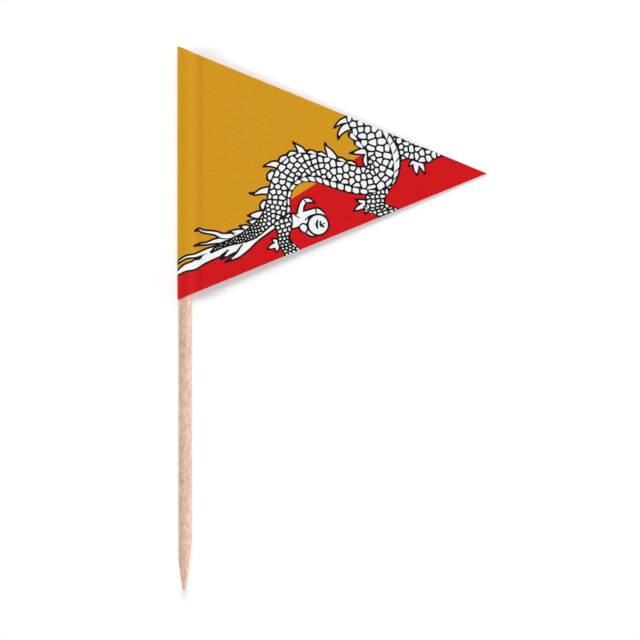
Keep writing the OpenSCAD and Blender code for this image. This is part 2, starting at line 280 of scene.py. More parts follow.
def printed_ink(name, full, thinnest):
    """Offset printing ink on coated paper: an even film with a faint mottle, a little duller where it is
    thin."""
    material, tree, output = new_material(name)
    place = add_node(tree, "TexCoord").outputs["Object"]
    grain_mm = 0.35
    mottle = add_node(tree, "TexNoise", {
        "Vector": place, "Scale": 1 / (grain_mm * MM), "Detail": 4.0, "Roughness": 0.7})
    colour = add_node(tree, "ValToRGB", {"Fac": mottle.outputs[0]}, [
        (0.38, darker(full, thinnest)), (0.6, full)])
    # The paper's tooth, drawn as coarse as on the bare paper
    tooth_mm = 0.09
    tooth = add_node(tree, "TexNoise", {"Vector": place, "Scale": 1 / (tooth_mm * MM), "Detail": 3.0})
    bump = add_node(tree, "Bump", {"Strength": 0.25, "Distance": 0.01 * MM, "Height": tooth.outputs[0]})
    surface = add_node(tree, "BsdfPrincipled", {
        "Base Color": colour.outputs[0], "Roughness": 0.55, "IOR": 1.48, "Specular IOR Level": 0.06,
        "Normal": bump.outputs[0]})
    tree.links.new(surface.outputs[0], output.inputs[0])
    return material


def dried_glue(name, clear):
    """White wood glue, dried to a cloudy film: it lets light in a little and shines dully where it
    skinned over."""
    material, tree, output = new_material(name)
    place = add_node(tree, "TexCoord").outputs["Object"]
    cloud_mm = 0.4
    cloud = add_node(tree, "TexNoise", {"Vector": place, "Scale": 1 / (cloud_mm * MM), "Detail": 3.0})
    colour = add_node(tree, "ValToRGB", {"Fac": cloud.outputs[0]}, [
        (0.35, darker(clear, 0.9)), (0.65, clear)])
    surface = add_node(tree, "BsdfPrincipled", {
        "Base Color": colour.outputs[0], "Roughness": 0.35, "IOR": 1.46, "Subsurface Weight": 0.3,
        "Subsurface Radius": (0.3 * MM, 0.25 * MM, 0.2 * MM), "Subsurface Scale": 1.0})
    tree.links.new(surface.outputs[0], output.inputs[0])
    return material


def sleeve_roll(fly, half):
    """How far the pick is rolled about the stick, as it lies on its sleeve and the pennant's tip."""
    reach = fly - SLEEVE_R
    return math.asin(SLEEVE_R / math.hypot(reach, half)) - math.atan(half / reach)


def finish_piece(context, name, mesh, material, node):
    """Lays a shape made about the stick's axis in its place, and puts it in the scene in a CAD node's
    stead."""
    pennant = context.scene.pick_pennant
    fly, paper, glue, ink = in_mm(pennant, "fly", "paper", "glue", "ink")
    roll = Matrix.Rotation(sleeve_roll(fly, glue / 2 + paper + ink), 4, "Y")
    laid = Matrix.Scale(MM, 4) @ Matrix.Translation((AXIS_X, MID_Y, AXIS_Z)) @ roll
    bmesh.ops.transform(mesh, verts=mesh.verts, matrix=laid)
    data = bpy.data.meshes.new(name)
    mesh.to_mesh(data)
    mesh.free()
    data.materials.append(material)
    piece = bpy.data.objects.new(name, data)
    context.scene.collection.objects.link(piece)
    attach(piece, "root")
    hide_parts(node)
    return piece


def shade(mesh, sharp=30):
    """Smooth shading, with edges left sharp where two faces turn more than an angle in degrees."""
    mesh.normal_update()
    for face in mesh.faces:
        face.smooth = True
    for edge in mesh.edges:
        edge.smooth = len(edge.link_faces) == 2 and edge.calc_face_angle() < math.radians(sharp)


class Fold:
    """A surface of the folded sheet, so far outside the glue: round the stick, in by an arc, then flat."""

    def __init__(self, settings, depth):
        glue, closing = in_mm(settings, "glue", "closing")
        lining = STICK_R + glue
        half = glue / 2
        hollow = (closing ** 2 + half ** 2 - lining ** 2) / (2 * (lining - half))
        self.r = lining + depth
        self.hollow_r = hollow - depth
        self.centre = Vector((closing, half + hollow))
        self.flat = half + depth
        self.touch = self.centre.normalized() * self.r

    def height(self, along):
        """Height of the surface above the pennant's middle plane."""
        if along < self.touch.x:
            return math.sqrt(max(0, self.r ** 2 - along ** 2))
        if along < self.centre.x:
            return self.centre.y - math.sqrt(self.hollow_r ** 2 - (along - self.centre.x) ** 2)
        return self.flat

    def stations(self, step=5):
        """Where the surface is creased, every few degrees round the stick and along the arc."""
        meet = math.degrees(self.touch.angle(Vector((-1, 0))))
        turns = [meet * i / round(meet / step) for i in range(1, round(meet / step) + 1)]
        back = math.degrees(math.asin((self.centre.x - self.touch.x) / self.hollow_r))
        steps = round(back / step) * 2
        arc = [back * i / steps for i in range(steps)]
        return [-self.r * math.cos(math.radians(turn)) for turn in turns] + [
            self.centre.x - self.hollow_r * math.sin(math.radians(turn)) for turn in reversed(arc)]


def fold_over(mesh, fold):
    """Lays the flat upper half of a sheet over the fold, and mirrors it to the underside."""
    for place in fold.stations():
        crossed = [face for face in mesh.faces
                   if min(v.co.x for v in face.verts) < place < max(v.co.x for v in face.verts)]
        parts = {part for face in crossed for part in (face, *face.edges, *face.verts)}
        bmesh.ops.bisect_plane(mesh, geom=list(parts), dist=NEAR_CUT, plane_co=(place, 0, 0),
                               plane_no=(1, 0, 0))
    for vert in mesh.verts:
        vert.co.z = fold.height(vert.co.x)
    upper = set(mesh.faces)
    bmesh.ops.mirror(mesh, geom=[*mesh.verts, *mesh.edges, *mesh.faces], merge_dist=NEAR, axis="Z")
    bmesh.ops.reverse_faces(mesh, faces=[face for face in mesh.faces if face not in upper])


# The drawing, in millimetres from the fold and from mid-height, on a pennant of this size
DRAWN_FLY, DRAWN_HOIST = 37.6, 30.8

# Rows along the body, tail to neck: the back, the belly, the widths of the belly's plates and of the
# ridge's, and the size of the scales
BELLY, RIDGE, SCALE = 4, 5, 6
BODY = [
    (3.95, -9.65, 4, -9.7, 0, 0, 0.34), (4.9, -8.7, 5.3, -9.1, 0, 0, 0.34),
    (6.2, -8.1, 6.5, -8.7, 0, 0, 0.36), (7.8, -7.3, 8.2, -8.3, 0, 0, 0.38),
    (9.3, -6.1, 9.7, -7.7, 0, 0.2, 0.44), (10.2, -5.1, 11.6, -6.1, 0, 0.36, 0.54),
    (10.6, -4.2, 13.3, -4.7, 0.3, 0.45, 0.62), (10.9, -3.1, 13.2, -3.4, 0.4, 0.42, 0.68),
    (11.1, -2, 13.4, -2.2, 0.5, 0.45, 0.74), (11.5, -0.6, 13.9, -1.3, 0.6, 0.5, 0.76),
    (12.2, 0.8, 14.6, -0.7, 0.7, 0.45, 0.76), (13.4, 1.9, 15.4, -0.4, 0.8, 0.4, 0.8),
    (14.8, 2.4, 16.3, -0.3, 0.85, 0.35, 0.8), (16.5, 2.3, 17.4, -0.5, 0.85, 0.35, 0.82),
    (18.2, 1.9, 18.6, -0.9, 0.8, 0.35, 0.82), (20, 1.4, 19.9, -1.2, 0.85, 0.3, 0.82),
    (21.5, 0.9, 21.3, -1.6, 0.8, 0.3, 0.8), (22.8, 0.8, 22.9, -1.9, 0.6, 0.1, 0.78),
    (23.1, 0.9, 24.8, -1.9, 0, 0, 0.78), (23.2, 1.2, 26, -1.2, 0, 0, 0.8),
    (23.2, 1.7, 26.2, 0.3, 0, 0, 0.84), (23.1, 2.4, 26.1, 1.8, 0, 0.2, 0.92),
    (22.7, 3.1, 25.8, 3.1, 0, 0.5, 0.98), (22.2, 3.8, 25.3, 4.1, 0, 0.6, 1),
    (21.5, 4.7, 24.8, 5, 0, 0.5, 0.96), (20.9, 5.7, 24.2, 6, 0, 0.1, 0.9),
    (20.4, 7.2, 23.6, 7.6, 0, 0, 0.9)]
# Rows along each leg, from the body outwards, with the same values
HIND_LEG = [
    (11.4, -5.4, 13.8, -4.8, 0, 0, 0.66), (12, -6.8, 13.9, -6.2, 0, 0, 0.6),
    (12.2, -7.6, 13.6, -7.4, 0, 0, 0.5), (12.3, -8.6, 13.6, -8.3, 0.2, 0, 0.42),
    (13, -9.8, 14.4, -9.2, 0.3, 0, 0.44), (14, -11.2, 15.4, -10.6, 0.3, 0, 0.5)]
NEAR_LEG = [
    (22.9, -1.9, 26.15, -1.35, 0, 0, 0.62), (22.9, -3.2, 25.2, -3.1, 0, 0, 0.58),
    (23, -4.2, 25.4, -3.8, 0, 0.2, 0.56), (24.1, -5, 26.6, -4.25, 0, 0.2, 0.6),
    (25.3, -6.4, 27.9, -5.4, 0, 0.2, 0.6)]
FAR_LEG = [
    (25.8, 4.9, 26.95, 1.4, 0, 0.5, 0.7), (28, 3.75, 28, 1.8, 0, 0.45, 0.74),
    (29.3, 3.2, 29.3, 1.4, 0, 0.4, 0.78), (30.4, 2.9, 30.5, 1.3, 0, 0.4, 0.76),
    (31.3, 2.7, 31.5, 1.9, 0, 0.4, 0.66), (33, 2.6, 33.1, 2.4, 0, 0.3, 0.6)]
# Horns, flames, toes and fingers, from root to tip: a middle line and half the width
HORNS = [
    [(10.4, -5.05, 0.55), (9.5, -5.1, 0.42), (8.5, -5.15, 0.02)],
    [(10, -6.1, 0.5), (9.3, -5.95, 0.38), (8.4, -5.85, 0.02)],
    [(9, -7, 0.5), (8.3, -6.6, 0.34), (7.5, -6.4, 0.02)],
    [(11.1, -2.1, 0.5), (10.2, -2.2, 0.36), (9.4, -2.5, 0.16), (8.7, -2.4, 0.02)],
    [(12.4, 0.9, 0.45), (11.7, 1.1, 0.4), (11, 1, 0.2), (10.4, 0.8, 0.02)],
    [(15.2, 2.3, 0.55), (14.9, 2.9, 0.4), (14.5, 3.3, 0.2), (14, 3.8, 0.02)],
    [(18.8, 1.7, 0.72), (18.45, 2.6, 0.4), (18.1, 3.1, 0.2), (17.9, 3.7, 0.02)],
    [(23.2, 2.75, 0.5), (22.1, 2.6, 0.34), (21.5, 2.5, 0.18), (20.9, 2.45, 0.02)],
    [(22.95, 0.9, 0.2), (22.8, 1.6, 0.3), (22.9, 2.35, 0.16)],
    [(21.2, 5.8, 0.5), (20.3, 5.5, 0.45), (19.7, 4.8, 0.25), (19.5, 4.1, 0.02)],
    [(22.6, 6.6, 0.5), (20.8, 6.5, 0.42), (19.8, 6.2, 0.28), (19, 5.5, 0.02)]]
FLAMES = [
    [(7.6, -7.5, 0.38), (5.6, -7.65, 0.36), (4.6, -7.28, 0.26), (3.2, -7.08, 0.2), (2.6, -6.85, 0.15),
     (2.1, -7.05, 0.02)],
    [(8.4, -7.2, 0.4), (7.2, -7.1, 0.3), (6.2, -7.1, 0.02)],
    [(6.4, -8.25, 0.4), (4.9, -8.2, 0.34), (3.6, -8.52, 0.18), (2.8, -8.62, 0.14), (2, -8.85, 0.02)],
    [(5.4, -9.05, 0.45), (3.6, -9.5, 0.36), (2.2, -10.02, 0.25), (1.2, -10.18, 0.2),
     (0.4, -10.6, 0.17), (-0.6, -11.4, 0.1)],
    [(7, -8.8, 0.6), (4.6, -9.8, 0.55), (3, -10.55, 0.56), (2, -11.2, 0.54), (1, -11.5, 0.45),
     (0, -12.15, 0.25), (-0.8, -12.7, 0.12)],
    [(8.2, -8.6, 0.5), (6.8, -9.3, 0.4), (6, -9.9, 0.24), (5.2, -10.5, 0.02)],
    [(11.8, -6.4, 0.3), (9.7, -7.9, 0.32), (8.4, -8.9, 0.5), (7.4, -9.9, 0.34), (6.6, -10.4, 0.18),
     (5.8, -10.8, 0.02)]]
# The smooth strip down the front of the neck
THROAT = [
    [(26.12, -1.3, 0.17), (26.4, -0.6, 0.28), (26.57, 0.4, 0.4), (26.6, 1.4, 0.46), (26.45, 2.45, 0.48),
     (26.1, 3.4, 0.44), (25.65, 4.25, 0.4), (25.2, 5, 0.34), (24.9, 5.7, 0.2)]]
TOES = [
    [(12.5, -8.6, 0.35), (11.9, -8.25, 0.3), (11.4, -7.95, 0.02)],
    [(12.5, -8.5, 0.4), (11.5, -8.9, 0.32), (10.9, -9.2, 0.02)],
    [(12.1, -8.5, 0.4), (12.1, -9.1, 0.3), (12.05, -9.6, 0.02)],
    [(23.1, -3.6, 0.35), (22.2, -3.4, 0.26), (21.6, -3.15, 0.02)],
    [(23.1, -3.7, 0.42), (22, -4.2, 0.3), (21.4, -4.6, 0.02)],
    [(22.9, -3.7, 0.35), (22.93, -4.5, 0.26), (22.8, -5, 0.02)],
    [(29, 1.5, 0.4), (28.5, 1.25, 0.28), (28.1, 0.85, 0.02)],
    [(29, 1.6, 0.45), (29, 0.5, 0.34), (29.1, -0.25, 0.02)],
    [(29.3, 1.5, 0.42), (29.8, 0.7, 0.28), (30.05, -0.1, 0.02)]]
HAND = [
    [(13.6, -5.9, 0.95), (14.6, -5.7, 0.85), (15.8, -5.5, 0.6)],
    [(14.9, -5.6, 0.5), (15, -4.2, 0.36), (15.4, -3.4, 0.36), (16, -3.3, 0.28), (16.7, -3.6, 0.02)],
    [(15, -5.2, 0.5), (16.2, -4.75, 0.4), (17, -4.6, 0.4), (17.8, -5, 0.2)],
    [(15, -6.25, 0.3), (15.3, -6.6, 0.5), (15.65, -6.95, 0.4)],
    [(15.75, -7.1, 0.28), (16.3, -7.4, 0.28), (16.9, -7.5, 0.16)]]
# Thin black strokes: in the flames, on the knuckles, where the nails begin, on the throat and by the
# cut edge
STROKES = [
    [(6, -7.15, 0.1), (6.6, -7.3, 0.1), (6.95, -7.55, 0.04)], [(5.2, -7.9, 0.08), (5.9, -8, 0.05)],
    [(2.1, -10.5, 0.1), (2.7, -10.34, 0.14), (3.1, -9.88, 0.05)], [(5.3, -10.1, 0.18), (6.2, -9.3, 0.1)],
    [(7.1, -9.7, 0.13), (7.9, -8.6, 0.09)], [(15.4, -3.25, 0.09), (15.7, -3.65, 0.07)],
    [(16.75, -4.2, 0.09), (16.9, -5, 0.07)], [(14.2, -5, 0.09), (14.8, -5.45, 0.05)],
    [(15.5, -5.65, 0.08), (16, -5.3, 0.06)], [(17.6, -6.2, 0.06), (17.9, -6.05, 0.1)],
    [(14.7, -6.75, 0.06), (14.9, -6.3, 0.09), (15.3, -6.1, 0.09), (15.65, -6.3, 0.08), (15.8, -6.7, 0.09),
     (15.65, -7.2, 0.08)],
    [(26.25, 2.4, 0.05), (26.6, 2.95, 0.09)], [(26.5, 1.35, 0.05), (26.95, 1.95, 0.09)],
    [(26.35, 0.1, 0.05), (26.95, 0.65, 0.09)], [(26.25, -0.8, 0.05), (26.75, -0.3, 0.08)],
    [(25.9, 3.45, 0.05), (26.15, 3.9, 0.08)], [(25.5, 4.1, 0.05), (25.7, 4.75, 0.08)],
    [(31.9, 2.3, 0.1), (33.2, 1.79, 0.08), (35.2, 0.97, 0.05), (36.4, 0.48, 0.02)]]
JEWEL = (17.1, -6.25)
SHINE = [
    [(17.05, -5.65, 0.07), (16.9, -6.2, 0.16), (17.05, -6.75, 0.07)],
    [(17.35, -5.8, 0.08), (17.42, -6.3, 0.16), (17.85, -6.52, 0.08)]]
# The line between the two grounds
GROUND_LINE = [(0, -11.9), (26.2, 4.7)]

# How much of each side a corner takes where plates and scales are rounded
PLATE_CUT, SCALE_CUT = 0.15, 0.13


def curve_through(points, steps):
    """A smooth curve through points of any number of values."""
    curve = []
    padded = [points[0], *points, points[-1]]
    for p, q, r, s in zip(padded, padded[1:], padded[2:], padded[3:]):
        for t in (step / steps for step in range(steps)):
            curve.append(tuple(
                b + t / 2 * (c - a + t * (2 * a - 5 * b + 4 * c - d + t * (3 * (b - c) + d - a)))
                for a, b, c, d in zip(p, q, r, s)))
    return [*curve, points[-1]]


def rounded(outline, cut):
    """A closed outline with its corners cut, then cut again."""
    for share in (cut, 0.25):
        outline = [spot for a, b in zip(outline, [*outline[1:], outline[0]])
                   for spot in (a.lerp(b, share), b.lerp(a, share))]
    return outline


class Band:
    """A scaly stretch of the body or a leg: rows along it, each across from the back to the belly."""

    def __init__(self, rows, steps=4):
        self.rows = curve_through(rows, steps)
        self.reaches = {share: self.reach_along(share) for share in (0, 0.5, 1)}
        self.length = self.reaches[0.5][-1]

    def reach_along(self, share):
        """How far each row lies along the back, the middle or the belly."""
        spots = [self.across(row, share) for row in self.rows]
        reach = [0]
        for a, b in zip(spots, spots[1:]):
            reach.append(reach[-1] + (b - a).length)
        return reach

    def row(self, distance, share=0.5):
        """The row at a distance along the back, the middle or the belly."""
        reach = self.reaches[share]
        index = min(max(bisect.bisect(reach, distance), 1), len(reach) - 1)
        low, high = reach[index - 1:index + 1]
        rest = (distance - low) / (high - low)
        return [a + (b - a) * rest for a, b in zip(self.rows[index - 1], self.rows[index])]

    @staticmethod
    def across(row, share, beyond=0):
        """A point across a row: share 0 is the back and 1 the belly, then so far beyond."""
        back, belly = Vector(row[0:2]), Vector(row[2:4])
        return back.lerp(belly, share) + (belly - back).normalized() * beyond

    def outline(self, grow):
        """The band's outline, its belly plates with it."""
        return [self.across(row, 0, -grow) for row in self.rows] + [
            self.across(row, 1, grow + max(0, row[BELLY])) for row in reversed(self.rows)]

    def plates(self, pitch, column, gap, grow=0, skip=()):
        """Rounded plates along the belly or the ridge of the back, where their column makes them wide
        enough. Grown, each is the black that shows round it."""
        # A plate is drawn where it is wider than so many gaps, and so much of a plate away from any root
        narrowest, clearance = 1.2, 0.62
        found = []
        side, way = (1, 1) if column == BELLY else (0, -1)
        count = round(self.reaches[side][-1] / pitch)
        pitch = self.reaches[side][-1] / count
        for k in range(count):
            near, middle, far = (self.row((k + share) * pitch, side) for share in (0, 0.5, 1))
            deep = middle[column]
            spot = self.across(middle, side)
            if deep < narrowest * gap or any((spot - root).length < clearance * pitch for root in skip):
                continue
            along = (self.across(far, side) - self.across(near, side)).normalized() * (gap / 2 - grow)
            # A belly plate is nearly square, and a ridge plate comes to a blunt point
            corner, crown = (0.84, 0.95) if side else (0.7, 1.35)
            inner, outer = way * (gap / 2 - grow), way * (deep * corner + grow)
            found.append(rounded([
                self.across(near, side, inner) + along, self.across(near, side, outer) + along,
                self.across(middle, side, way * (deep * crown + grow)),
                self.across(far, side, outer) - along, self.across(far, side, inner) - along], PLATE_CUT))
        return found

    def scale_sites(self):
        """Where scales lie, each with its size and its row's number, and the ghosts that bound them: those
        past the band's end, and with no size those mirrored in its sides and its start."""
        # Where the first row lies, and how far ghosts go past the end
        first, past_end = 0.15, 1
        # In scales: how far every other row is shifted, how loosely they lie, and how far apart rows are
        shift, loose_across, loose_along, pitch = 0.22, 0.13, 0.12, 0.92
        sites, ghosts = [], []
        distance, column = first, 0
        while distance < self.length + past_end:
            row = self.row(min(distance, self.length))
            size = row[SCALE]
            count = max(1, round((self.across(row, 1) - self.across(row, 0)).length / size))
            stagger = 0 if count == 1 else shift if column % 2 else -shift
            for i in range(count):
                share = (i + 0.5 + stagger + random.uniform(-loose_across, loose_across)) / count
                loose = random.uniform(-loose_along, loose_along) * size
                here = self.row(min(distance + loose, self.length))
                spots = sites if distance < self.length else ghosts
                spots.append((self.across(here, share), size, column))
                ghosts += [(self.across(here, mirrored), 0, column) for mirrored in (-share, 2 - share)]
            distance += size * pitch
            column += 1
        start = self.across(self.rows[0], 0.5)
        ghosts.append((start * 2 - sites[0][0], 0, 0))
        return sites, ghosts

    def scales(self, gap):
        """Pebble-like scales: each takes the ground that is nearer to its own middle than to any other."""
        # In scales: how far one can reach, and how far off it meets its neighbours
        reach, sight = 0.9, 2.2
        # Below this size the gap widens at this rate, and scales under this many gaps squared are left out
        small, widening, least = 0.55, 0.4, 0.15
        sites, ghosts = self.scale_sites()
        found = []
        for spot, size, column in sites:
            apart_by = gap * (1 + max(0, small - size) * widening)
            cell = bmesh.new()
            bmesh.ops.create_circle(cell, cap_ends=True, segments=8, radius=size * reach,
                                    matrix=Matrix.Translation(spot.to_3d()))
            for other, other_size, other_column in sites + ghosts:
                apart = other - spot
                # A mirrored ghost bounds only the rows beside its own
                if 0 < apart.length < size * sight and (other_size or abs(other_column - column) < 2):
                    way = apart.normalized()
                    bmesh.ops.bisect_plane(
                        cell, geom=[*cell.verts, *cell.edges, *cell.faces], clear_outer=True,
                        dist=NEAR_SCALE, plane_no=way.to_3d(),
                        plane_co=(spot + apart / 2 - way * apart_by / 2).to_3d())
            if cell.faces and cell.faces[:][0].calc_area() > least * apart_by * apart_by:
                corners = [loop.vert.co.to_2d() for loop in cell.faces[:][0].loops]
                found.append(rounded(corners, SCALE_CUT))
            cell.free()
        return found


def strand(points, grow, line, steps=4):
    """The outline of a tapering stroke, so far outside its own width, with a black tip beyond its end."""
    # Where it is thinner it isn't drawn, and its ends reach on by so much of their width
    thinnest, cap = 0.02, 0.6
    path = [spot for spot in curve_through(points, steps) if spot[2] + grow > thinnest]
    if len(path) < 2:
        return []
    middle = [Vector(spot[0:2]) for spot in path]
    last = len(path) - 1
    left, right = [], []
    for i, spot in enumerate(path):
        heading = (middle[min(i + 1, last)] - middle[max(i - 1, 0)]).normalized()
        side = Vector((-heading.y, heading.x)) * (spot[2] + grow)
        left.append(middle[i] + side)
        right.append(middle[i] - side)
    end = (middle[last] - middle[last - 1]).normalized()
    tip = [middle[last] + end * line * cap] if grow > 0 else []
    start = [middle[0] - (middle[1] - middle[0]).normalized() * (path[0][2] + grow) * cap]
    return right + tip + left[::-1] + start


def round_spot(centre, radius, count=40):
    """A circle's outline."""
    turns = (Matrix.Rotation(-math.tau * i / count, 2) for i in range(count))
    return [Vector(centre) + Vector((radius, 0)) @ turn for turn in turns]


def drawing(settings):
    """Every shape of the print with its colour, from the lowest layer to the uppermost."""
    line, gap, ridge_plate, belly_plate, jewel_r = in_mm(
        settings, "line", "gap", "ridge_plate", "belly_plate", "jewel_r")
    leg_plate, leg_gap, leg_rim = 0.55 * ridge_plate, 0.8 * gap, 0.7 * line
    half = line / 2
    shapes = []

    def paint(colour, outlines):
        shapes.extend((outline, colour) for outline in outlines if len(outline) > 2)

    # The upper ground runs past the cut edges on every side
    near, far = GROUND_LINE
    slope = (far[1] - near[1]) / (far[0] - near[0])
    over = 2
    left, right, top = -over, DRAWN_FLY + over, DRAWN_HOIST
    paint("orange_ink", [[
        Vector((left, near[1] + left * slope)), Vector((right, near[1] + right * slope)),
        Vector((right, top)), Vector((left, top))]])

    def paint_limbs(limbs):
        paint("black_ink", [strand(limb, half, line) for limb in limbs])
        paint("paper", [strand(limb, -half, line) for limb in limbs])

    def paint_leg(rows):
        leg = Band(rows)
        paint("black_ink", [leg.outline(half)])
        paint("black_ink", leg.plates(leg_plate, RIDGE, leg_gap, leg_rim))
        paint("paper", leg.plates(leg_plate, BELLY, leg_gap) + leg.plates(leg_plate, RIDGE, leg_gap))
        paint("paper", leg.scales(gap))

    paint_limbs(FLAMES + TOES + HAND + HORNS)
    paint_leg(FAR_LEG)
    paint_limbs(THROAT)
    paint_leg(NEAR_LEG)
    paint_leg(HIND_LEG)
    body = Band(BODY)
    roots = [Vector(horn[0][0:2]) for horn in HORNS]
    paint("black_ink", [body.outline(half)])
    paint("black_ink", body.plates(ridge_plate, RIDGE, gap, line, roots))
    paint("paper", body.plates(ridge_plate, RIDGE, gap, 0, roots))
    paint("paper", body.plates(belly_plate, BELLY, gap))
    paint("paper", body.scales(gap))
    paint("black_ink", [round_spot(JEWEL, jewel_r + half)])
    paint("paper", [round_spot(JEWEL, jewel_r - half)])
    paint("black_ink", [strand(stroke, 0, line) for stroke in SHINE + STROKES])
    return shapes


def anticlockwise(outline):
    """The same outline, turned so that it encloses its inside."""
    turn = sum(a.x * b.y - b.x * a.y for a, b in zip(outline, [*outline[1:], outline[0]]))
    return outline if turn > 0 else outline[::-1]


def flat_print(settings, fly):
    """The upper half of the printed sheet laid flat, its faces marked with their inks; bare paper is
    left open."""
    sheet = [Vector((0, -HOIST / 2)), Vector((fly, 0)), Vector((0, HOIST / 2))]
    shapes = [(sheet, "red_ink")] + [
        ([Vector((spot.x * fly / DRAWN_FLY, spot.y * HOIST / DRAWN_HOIST)) for spot in outline], colour)
        for outline, colour in drawing(settings)]
    spots, loops = [], []
    for outline, _ in shapes:
        loops.append(list(range(len(spots), len(spots) + len(outline))))
        spots += anticlockwise(outline)
    # Mode 1 triangulates only what the outlines enclose
    corners, _, faces, _, _, owners = delaunay_2d_cdt(spots, [], loops, 1, NEAR)
    mesh = bmesh.new()
    ink = mesh.faces.layers.int.new("ink")
    verts = [mesh.verts.new((corner.x - SLEEVE_R, corner.y, 0)) for corner in corners]
    for face, owner in zip(faces, owners):
        colour = shapes[max(owner)][1] if 0 in owner else "paper"
        if colour != "paper":
            mesh.faces.new([verts[i] for i in face])[ink] = INKS.index(colour)
    bmesh.ops.delete(mesh, geom=[vert for vert in mesh.verts if not vert.link_faces], context="VERTS")
    return mesh


class GroundPoint:
    """The stick's sharpened end: an arc about an axis of its own, with a small round tip. Heights are
    measured down from the head."""

    def __init__(self, settings):
        length, self.offset, self.tip_r = in_mm(settings, "point_length", "point_offset", "tip_r")
        slope = settings.point_slope
        # It starts a little outside the shank, so that it runs out in it evenly
        run_out = 0.02
        start_r = STICK_R + self.offset + run_out
        nose = length - self.tip_r
        self.shoulder = STICK_LENGTH - length
        self.arc = (start_r ** 2 + nose ** 2 - self.tip_r ** 2) / (
            2 * (start_r * math.cos(slope) - self.tip_r - nose * math.sin(slope)))
        self.centre = Vector((
            start_r - self.arc * math.cos(slope), self.shoulder - self.arc * math.sin(slope)))
        self.round_end = Vector((0, STICK_LENGTH - self.tip_r))
        self.meet = self.centre + (self.round_end - self.centre) * self.arc / (self.arc - self.tip_r)

    def radius(self, down):
        """The point's radius about its own axis."""
        if down < self.meet.y:
            return self.centre.x + math.sqrt(self.arc ** 2 - (down - self.centre.y) ** 2)
        return math.sqrt(max(0, self.tip_r ** 2 - (down - self.round_end.y) ** 2))

    def skin(self, heading, down):
        """A spot on the point's skin, or on the shank's where that is nearer."""
        own_axis = Vector((-self.offset, 0))
        aside = own_axis.dot(heading)
        shank = -aside + math.sqrt(aside ** 2 - own_axis.length_squared + STICK_R ** 2)
        return own_axis + heading * min(self.radius(down), shank)


class PICK_OT_stick(bpy.types.Operator):
    """Turn the birch stick and grind its point"""
    bl_idname = "pick.stick"
    bl_label = "Stick"

    def execute(self, context):
        settings = context.scene.pick_stick
        bevel, fibre_depth = in_mm(settings, "head_bevel", "fibre_depth")
        point = GroundPoint(settings)
        mesh = self.turn_rod(point, bevel)
        self.carve(mesh, point, fibre_depth)
        bmesh.ops.recalc_face_normals(mesh, faces=mesh.faces)
        shade(mesh)
        wood = birch("Birch rod, turned and tumbled", settings.wood_light, settings.wood_middle,
                     settings.wood_dark, settings.pores)
        finish_piece(context, "birch_stick", mesh, wood, "toothpick")
        return {"FINISHED"}

    def turn_rod(self, point, bevel):
        """A rod as thick as the shank, with a ring wherever the stick's outline bends."""
        shank_step, point_step, tip_steps = 0.4, 0.16, 5
        shoulder, meet, round_end = point.shoulder, point.meet, point.round_end
        worn = 0.3 * bevel
        rows = [(0, 0), ((STICK_R - bevel) / 2, 0), (STICK_R - bevel, 0), (STICK_R - worn, worn)]
        steps = round((shoulder - bevel) / shank_step)
        rows += [(STICK_R, bevel + (shoulder - bevel) * i / steps) for i in range(steps)]
        steps = round((meet.y - shoulder) / point_step)
        rows += [(STICK_R, shoulder + (meet.y - shoulder) * i / steps) for i in range(steps)]
        turn = math.asin((meet.y - round_end.y) / point.tip_r)
        turns = [turn + (math.pi / 2 - turn) * i / tip_steps for i in range(tip_steps)]
        rows += [(STICK_R, round_end.y + point.tip_r * math.sin(turn)) for turn in turns]
        rows += [(0, STICK_LENGTH)]
        facets = 96
        mesh = bmesh.new()
        chain = [mesh.verts.new((r, HEAD_Y - down, 0)) for r, down in rows]
        edges = [mesh.edges.new(pair) for pair in zip(chain, chain[1:])]
        bmesh.ops.spin(mesh, geom=chain + edges, cent=(0, 0, 0), axis=(0, 1, 0), angle=math.tau,
                       steps=facets, use_merge=True)
        bmesh.ops.remove_doubles(mesh, verts=mesh.verts, dist=NEAR)
        return mesh

    def carve(self, mesh, point, fibre_depth):
        """Grinds the point and sinks the grooves between the fibres."""
        # Coarse and fine grooves: how close round the stick, how close along it, and their share of depth
        grooves, everywhere = ((6, 0.35, 0.8), (19, 0.7, 0.5)), 0.3
        for vert in mesh.verts:
            down = HEAD_Y - vert.co.y
            out = Vector((vert.co.x, vert.co.z))
            if out.length < NEAR:
                if down > point.shoulder:
                    vert.co.x, vert.co.z = -point.offset, 0
                continue
            heading = out.normalized()
            if down > point.shoulder:
                out = point.skin(heading, down)
            deep = sum(
                share * noise.noise(Vector((heading.x * around, vert.co.y * along, heading.y * around)))
                for around, along, share in grooves)
            out *= 1 - fibre_depth * max(0, deep + everywhere) / STICK_R
            vert.co.x, vert.co.z = out


